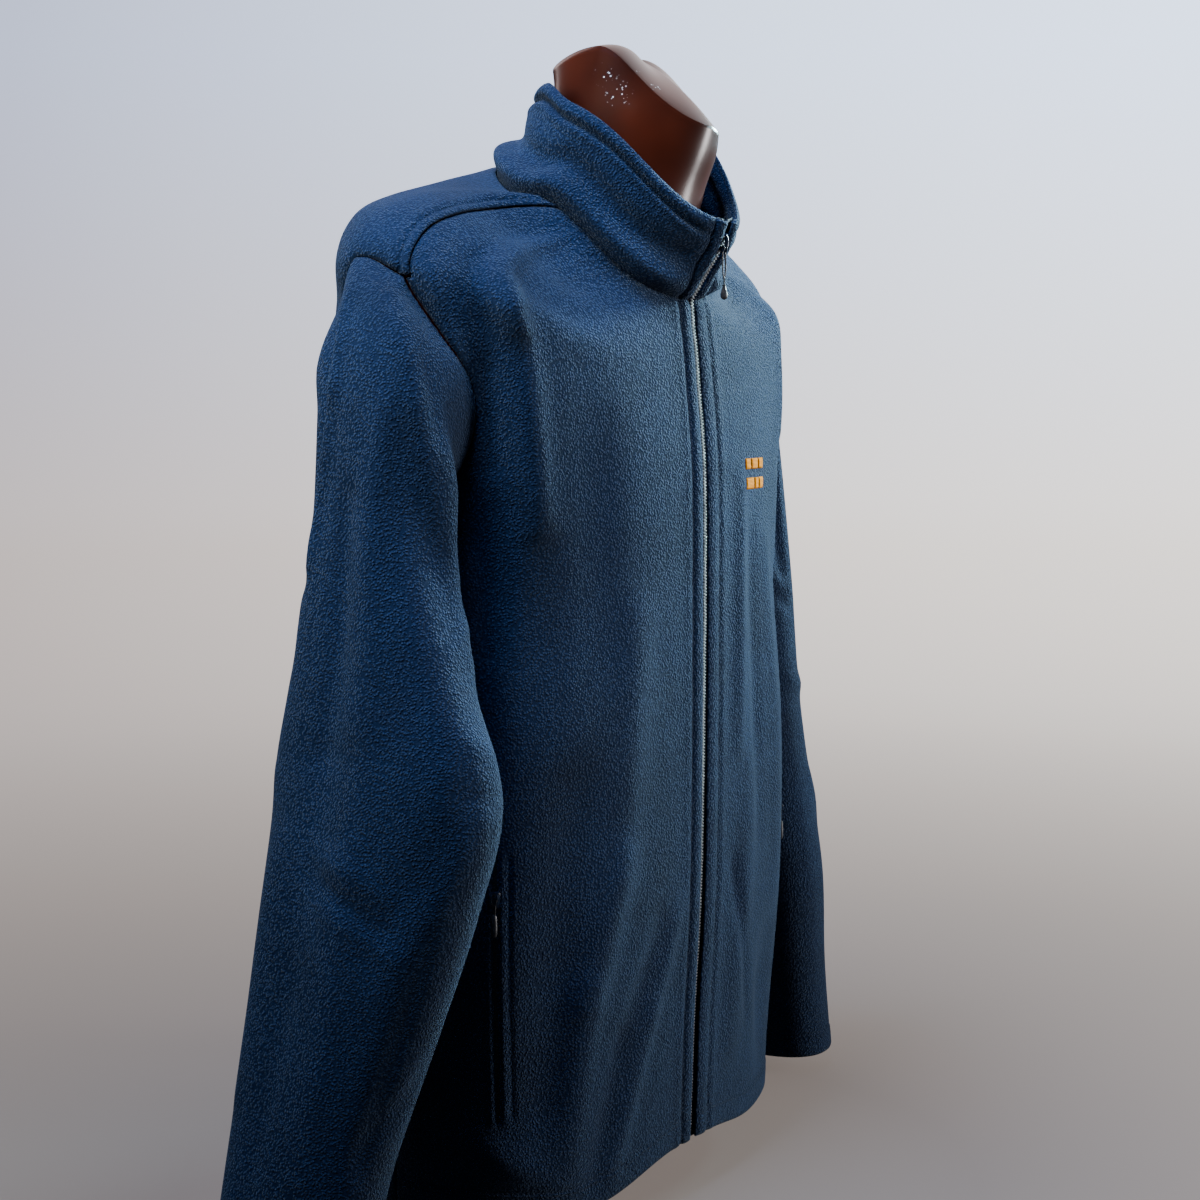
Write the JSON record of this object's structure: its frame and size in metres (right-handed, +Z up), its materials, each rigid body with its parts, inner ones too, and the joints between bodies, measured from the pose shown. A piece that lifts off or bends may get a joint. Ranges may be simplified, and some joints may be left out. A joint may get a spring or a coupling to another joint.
{
  "type": "zip fleece jacket on torso dress form",
  "caption": "Full-zip fleece jacket with a stand collar, set-in sleeves and zipped side pockets, worn by a smooth limbless torso form on a low foot.",
  "frame": {"origin": "centre of the whole outline, at the underside of the form's foot", "axes": "+Z up; the wearer faces -Y, so the zip is on the -Y side and the wearer's right arm is at -X"},
  "size_m": [0.7098, 0.2686, 0.8295],
  "materials": {
    "fleece": "napped",
    "zip_tape": "woven",
    "zip_teeth": "satin",
    "slider_metal": "satin",
    "pull_cord": "matt",
    "form_gloss": "gloss"
  },
  "bodies": {
    "jacket": {"front_right": "fleece", "front_left": "fleece", "back": "fleece", "sleeve_right": "fleece", "sleeve_left": "fleece", "collar": "fleece", "zip_chain": "zip_teeth", "zip_tape_right": "zip_tape", "zip_tape_left": "zip_tape", "pocket_zip_right": "zip_tape", "pocket_zip_left": "zip_tape", "main_zip_slider": "slider_metal", "pocket_slider_right": "slider_metal", "pocket_slider_left": "slider_metal", "dress_form": "form_gloss"},
    "main_pull": {"main_zip_pull": "pull_cord"},
    "right_pull": {"pocket_pull_right": "pull_cord"},
    "left_pull": {"pocket_pull_left": "pull_cord"}
  },
  "joints": [
    {"name": "main_pull_swing", "type": "hinge", "parent": "jacket", "child": "main_pull", "pos_m": [0, -0.12921, 0.68716], "axis": [-1, 0, 0], "range_deg": [-8, 100]},
    {"name": "right_pull_swing", "type": "hinge", "parent": "jacket", "child": "right_pull", "pos_m": [-0.1935, -0.06631, 0.25536], "axis": [-0.6275, 0.7786, 0], "range_deg": [0, 100]},
    {"name": "left_pull_swing", "type": "hinge", "parent": "jacket", "child": "left_pull", "pos_m": [0.1935, -0.06631, 0.25536], "axis": [-0.6275, -0.7786, 0], "range_deg": [0, 100]}
  ]
}
